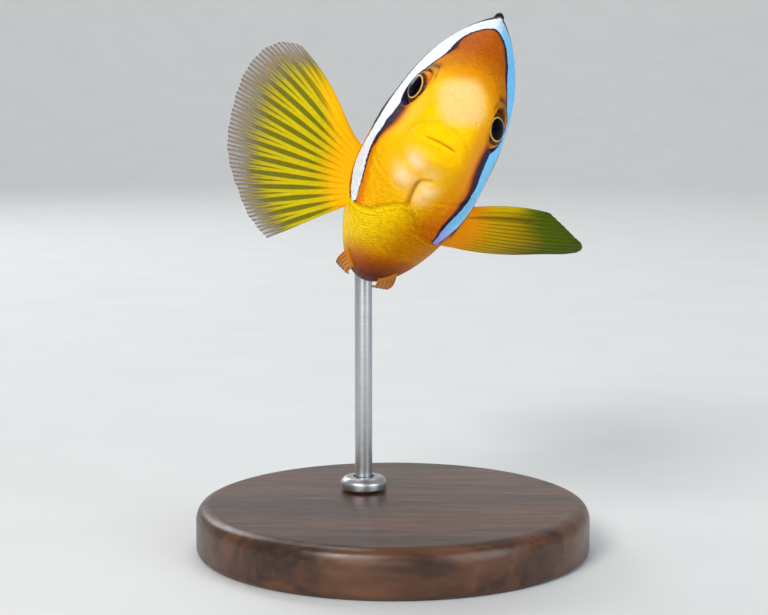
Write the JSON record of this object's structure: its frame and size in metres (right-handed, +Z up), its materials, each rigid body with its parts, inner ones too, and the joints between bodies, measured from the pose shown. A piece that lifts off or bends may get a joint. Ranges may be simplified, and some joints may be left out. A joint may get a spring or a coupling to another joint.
{
  "type": "clownfish display model",
  "caption": "Life-size still model of a yellow-and-black clownfish with white bars, banked nose-up on one rod above a round base.",
  "frame": {"origin": "the middle of the underside of the stand's base", "axes": "+Z up; the fish's head faces -Y, turned 4 degrees, 8.3 degrees nose up, and banked 28.1 degrees so that its back leans to +X; its right side is on -X"},
  "size_m": [0.066, 0.1005, 0.0894],
  "materials": {
    "orange_skin": "satin painted skin with fine scales, orange yellow, white bar behind the eye",
    "black_skin": "satin painted skin with fine scales, black flanks, white bars, yellow breast and belly",
    "eye": "high gloss, black pupil, thin gold ring, dark brown iris",
    "black_fin": "satin black fin with fine rays and a pale edge",
    "yellow_fin": "satin yellow fin with fine branching rays and a thinner clear edge",
    "dark_wood": "dark stained wood, satin lacquer",
    "steel": "fine brushed steel"
  },
  "bodies": {
    "root": {"head": "orange_skin", "jaw_lower": "orange_skin", "gill_cover_left": "orange_skin", "gill_cover_right": "orange_skin", "trunk": "black_skin", "tail_stem": "black_skin", "eye_left": "eye", "eye_right": "eye", "dorsal_fin": "black_fin", "anal_fin": "yellow_fin", "caudal_fin": "yellow_fin", "pectoral_fin_left": "yellow_fin", "pectoral_fin_right": "yellow_fin", "pelvic_fin_left": "yellow_fin", "pelvic_fin_right": "yellow_fin", "stand_base": "dark_wood", "stand_collar": "steel", "stand_rod": "steel"}
  },
  "joints": []
}
